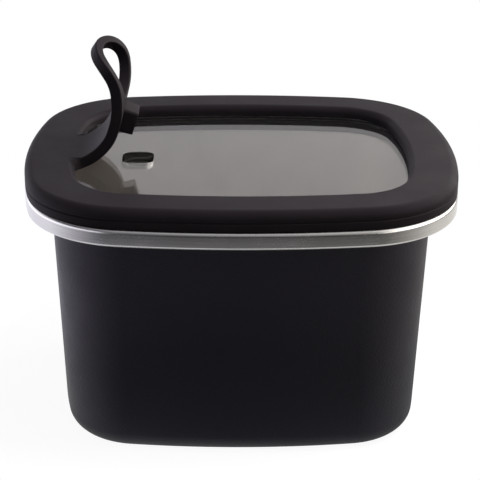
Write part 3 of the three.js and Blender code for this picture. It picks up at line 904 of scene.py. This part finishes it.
# %% Bend tree
bend_tree = bpy.data.node_groups.new("bend_along_line", "GeometryNodeTree")
socket_in(bend_tree, "Flat Piece", "NodeSocketGeometry")
socket_in(bend_tree, "Middle Line", "NodeSocketObject")
socket_in(bend_tree, "Ruling", "NodeSocketVector")
socket_in(bend_tree, "Finish", "NodeSocketMaterial")
bend_tree.interface.new_socket("Piece", in_out="OUTPUT", socket_type="NodeSocketGeometry")
given = place(bend_tree, "NodeGroupInput").outputs
line = place(bend_tree, "GeometryNodeObjectInfo", {"Object": given["Middle Line"]}).outputs["Geometry"]
spot = place(bend_tree, "GeometryNodeInputPosition").outputs[0]
flat_spot = place(bend_tree, "ShaderNodeSeparateXYZ", {0: spot}).outputs
sample = place(
    bend_tree, "GeometryNodeSampleCurve", {"Curves": line, "Length": flat_spot["X"]}, mode="LENGTH",
).outputs


def vector(operation, first, second, scale=None):
    inputs = {0: first}
    if second is not None:
        inputs[1] = second
    if scale is not None:
        inputs["Scale"] = scale
    return place(bend_tree, "ShaderNodeVectorMath", inputs, operation=operation).outputs[0]


normal = vector("CROSS_PRODUCT", sample["Tangent"], given["Ruling"])
raised = vector("ADD", sample["Position"], vector("SCALE", normal, None, flat_spot["Z"]))
spread = vector("ADD", raised, vector("SCALE", given["Ruling"], None, flat_spot["Y"]))
new_place = {"Geometry": given["Flat Piece"], "Position": spread}
laid = place(bend_tree, "GeometryNodeSetPosition", new_place).outputs[0]
end_tree(bend_tree, laid, given["Finish"])

# %% [markdown]
# A blend bends a mesh between two bodies only, so the strap is cut halfway between its bending lines, and once
# where the stiff length over the plug begins. At a cut, both sides move with the same body. Close cuts along
# the ruling give a piece the points that it needs to bend smoothly.

# %% Cutting the flat strap
TOUCHING, ON_CUT = 1e-7, 1e-8


def slice_at(work, station, turn, drop_before=False, drop_after=False):
    normal = (math.cos(turn), -math.sin(turn), 0)
    everything = work.verts[:] + work.edges[:] + work.faces[:]
    bmesh.ops.bisect_plane(
        work, geom=everything, dist=ON_CUT, plane_co=(station, 0, 0), plane_no=normal,
        clear_inner=drop_before, clear_outer=drop_after,
    )


CUT_STEP = 0.45 * MM


def cut_piece(first, last, turn):
    """The strap between two cuts, each a station and a skew, with close cuts between them."""
    work = bmesh.new()
    work.from_mesh(flat_strap)
    if first:
        slice_at(work, *first, drop_before=True)
    if last:
        slice_at(work, *last, drop_after=True)
    bmesh.ops.holes_fill(work, edges=[e for e in work.edges if e.is_boundary], sides=0)
    runs = [v.co.x - v.co.y * math.tan(turn) for v in work.verts]
    for station in np.arange(min(runs) + CUT_STEP, max(runs), CUT_STEP):
        slice_at(work, station, turn)
    bmesh.ops.remove_doubles(work, verts=work.verts, dist=TOUCHING)
    mesh = bpy.data.meshes.new("strap_piece")
    work.to_mesh(mesh)
    work.free()
    return mesh


SEAT_MARGIN = 0.75 * MM
seat_cut = stations[3] + SEAT_LEG + SEAT_MARGIN
cuts = [None, *((a + b) / 2 for a, b in zip(stations[:3], stations[1:4])), seat_cut]
cuts += [*((a + b) / 2 for a, b in zip(stations[4:], stations[5:])), None]
turns = [0, 0, 0, 0, 0, skew, skew, skew, skew]
print("cuts at", [None if c is None else round(c / MM, 2) for c in cuts])

# %% [markdown]
# Each cut piece is then laid along its middle line. The root of the strap is buried in the ring. There it is
# made a little thinner, so that only the ring's own top shows.

# %% Laying the pieces along the middle lines
def line_object(name, points):
    data = bpy.data.curves.new(name, "CURVE")
    data.dimensions = "3D"
    spline = data.splines.new("POLY")
    spline.points.add(len(points) - 1)
    for point, place_at in zip(spline.points, points):
        point.co = (*place_at, 1)
    return new_piece(name, data)


SINK, SINK_FROM, SINK_OVER = 0.03, 1 * MM, 2 * MM


def laid_piece(name, mesh, middle, line, ruling, first_run, turn, start):
    """The flat mesh, turned to its ruling and laid along a middle line that starts at first_run."""
    runs, points, _ = middle
    lengths = np.concatenate([[0], np.cumsum([(b - a).length for a, b in zip(points, points[1:])])])
    for vertex in mesh.vertices:
        x, y = vertex.co.x - start, vertex.co.y
        along = x * math.cos(turn) - y * math.sin(turn)
        vertex.co.y = x * math.sin(turn) + y * math.cos(turn)
        vertex.co.x = np.interp(along - first_run, runs, lengths)
        buried = -SINK_FROM - x - start
        if buried > 0:
            vertex.co.z *= 1 - SINK * min(1, buried / SINK_OVER)
    piece = new_piece(name, mesh)
    run_tree(piece, bend_tree, {"Middle Line": line, "Ruling": ruling, "Finish": silicone})
    return closed_up(piece)


lower_curve = line_object("lower_middle_line", lower_line[1])
upper_curve = line_object("upper_middle_line", upper_line[1])
on_lower = (lower_line, lower_curve, (0, 1, 0), -BURIED * MM, 0, 0)
on_upper = (upper_line, upper_curve, askew, -LOOP_LEAD, skew, stations[STRAIGHT_BENDS])
strap = []
for i, name in enumerate(LENGTHS):
    first = None if cuts[i] is None else (cuts[i], turns[i])
    last = None if cuts[i + 1] is None else (cuts[i + 1], turns[i + 1])
    is_straight = i < STRAIGHT_BENDS
    mesh = cut_piece(first, last, 0 if is_straight else skew)
    strap.append(laid_piece(f"{name}_bend", mesh, *(on_lower if is_straight else on_upper)))
print("strap pieces:", len(strap))

# %% [markdown]
# For each piece, the points a little inside its two cut ends are worked out. Its turn between two bodies
# would start and end there. Each piece keeps its laid shape and is not tied to a body, and the frame's own
# strap parts, all but the plug, are hidden.

# %% Strap pieces in place of the frame's strap
bodies = frame["record"]["behaviour"]["bodies"]
STILL = 0.45 * MM


def drawn_in(ends, bend):
    return [end + (bend - end).normalized() * STILL for end in ends]


bend_ends = lower_line[2] + upper_line[2]
bend_middles = bends[:STRAIGHT_BENDS] + loop_bends
for i, (name, piece) in enumerate(zip(LENGTHS, strap)):
    start, stop = drawn_in(bend_ends[i], bend_middles[i])
    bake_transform(piece)
    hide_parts(*[node for node in bodies[name] if node != "vent_plug"])
    report(piece)

# %% [markdown]
# Where the strap leaves the ring, the mould has a fillet at each side. It takes the ring's broad inner round
# over into the strap's fine edge. Its wall is an arc that touches both, and its shoulder narrows along the
# arc. It is drawn flat and laid along the same middle line, so it bends up with the strap.

# %% Root fillets
FILLET = 2.8
root_x = (bends[0].x - FIRST_STATION) / MM
bore_radius = side_radius / MM - RING_BORE
fillet_y = STRAP_HALF + FILLET
fillet_x = -side_centre.x / MM - math.sqrt((bore_radius - FILLET) ** 2 - fillet_y**2) - root_x
tilt = math.asin(fillet_y / (bore_radius - FILLET))
FILLET_SINK, HEART_BACK, HEART_IN, FILLET_ROWS = 0.01, 2.6, 0.9, 17
fillet_top = STRAP_THICK / 2 - FILLET_SINK


def fillet_row(side, share):
    """One cut through a fillet, from its heart in the ring out to its wall, up and over its shoulder."""
    angle = (QUARTER + tilt) * share - tilt
    inward = Vector((-math.cos(angle), -side * math.sin(angle)))
    wall = Vector((fillet_x, side * fillet_y)) + inward * FILLET
    heart = (fillet_x - FILLET - HEART_BACK, side * (STRAP_HALF - HEART_IN))
    shoulder = RING_SHOULDER * (1 - share) + EASE * share
    row = [(*heart, -fillet_top), (*wall, -fillet_top)]
    for sink, rise in arc((shoulder, -shoulder), shoulder, math.pi, QUARTER, 8):
        row.append((*(wall + inward * sink), fillet_top + rise))
    return [*row, (*heart, fillet_top)]


work = bmesh.new()
for side in (-1, 1):
    shares = np.linspace(0, 1, FILLET_ROWS)
    rows = [[work.verts.new(Vector(p) * MM) for p in fillet_row(side, share)] for share in shares]
    for one, two in zip(rows, rows[1:]):
        for i in range(len(one) - 1):
            work.faces.new((one[i], two[i], two[i + 1], one[i + 1]))
    work.faces.new(rows[0])
    work.faces.new(rows[-1])
bmesh.ops.remove_doubles(work, verts=work.verts, dist=TOUCHING)
fillet_mesh = bpy.data.meshes.new("strap_root_fillets")
work.to_mesh(fillet_mesh)
work.free()
fillets = laid_piece("strap_root_fillets", fillet_mesh, *on_lower)
for used in (lower_curve, upper_curve):
    bpy.data.objects.remove(used)
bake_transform(fillets)
report(fillets)

# %% [markdown]
# The plug is a tapered block under the stiff length of the strap. When the strap is pressed flat it sits in
# the vent. Its outline is repeated from inside the strap down to its eased end.

# %% Vent plug
PLUG_X, PLUG_LENGTH, PLUG_WIDTH, PLUG_CORNER = 23.0, 9.0, 12.0, 1.2
PLUG_INTO, PLUG_DEPTH, PLUG_TAPER, PLUG_EASE = 0.5, 5.3, 0.25, 0.4
plug_root, plug_end = PLUG_INTO - STRAP_THICK / 2, -STRAP_THICK / 2 - PLUG_DEPTH
plug_levels = [(0.0, plug_root), (0.0, -STRAP_THICK / 2), (-PLUG_TAPER, plug_end + PLUG_EASE)]
plug_levels += [
    (-PLUG_TAPER - PLUG_EASE * (1 - math.cos(a)), plug_end + PLUG_EASE * (1 - math.sin(a)))
    for a in np.linspace(0, QUARTER, 6)[1:]
]
work = bmesh.new()
ringed(work, [
    (rounded_rectangle(0, PLUG_LENGTH, PLUG_WIDTH, PLUG_CORNER, o), z) for o, z in plug_levels
])
plug_mesh = bpy.data.meshes.new("vent_plug_block")
work.to_mesh(plug_mesh)
work.free()
seat_frame = Matrix((seat_run, Vector((0, 1, 0)), seat_up)).transposed().to_4x4()
seat_frame.translation = bends[3] + seat_run * (PLUG_X * MM - stations[3])
plug_mesh.transform(seat_frame)
plug_mesh.materials.append(silicone)
plug = closed_up(new_piece("vent_plug_block", plug_mesh))
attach(plug, "strap_plug_seat")
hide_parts("vent_plug")
report(plug)
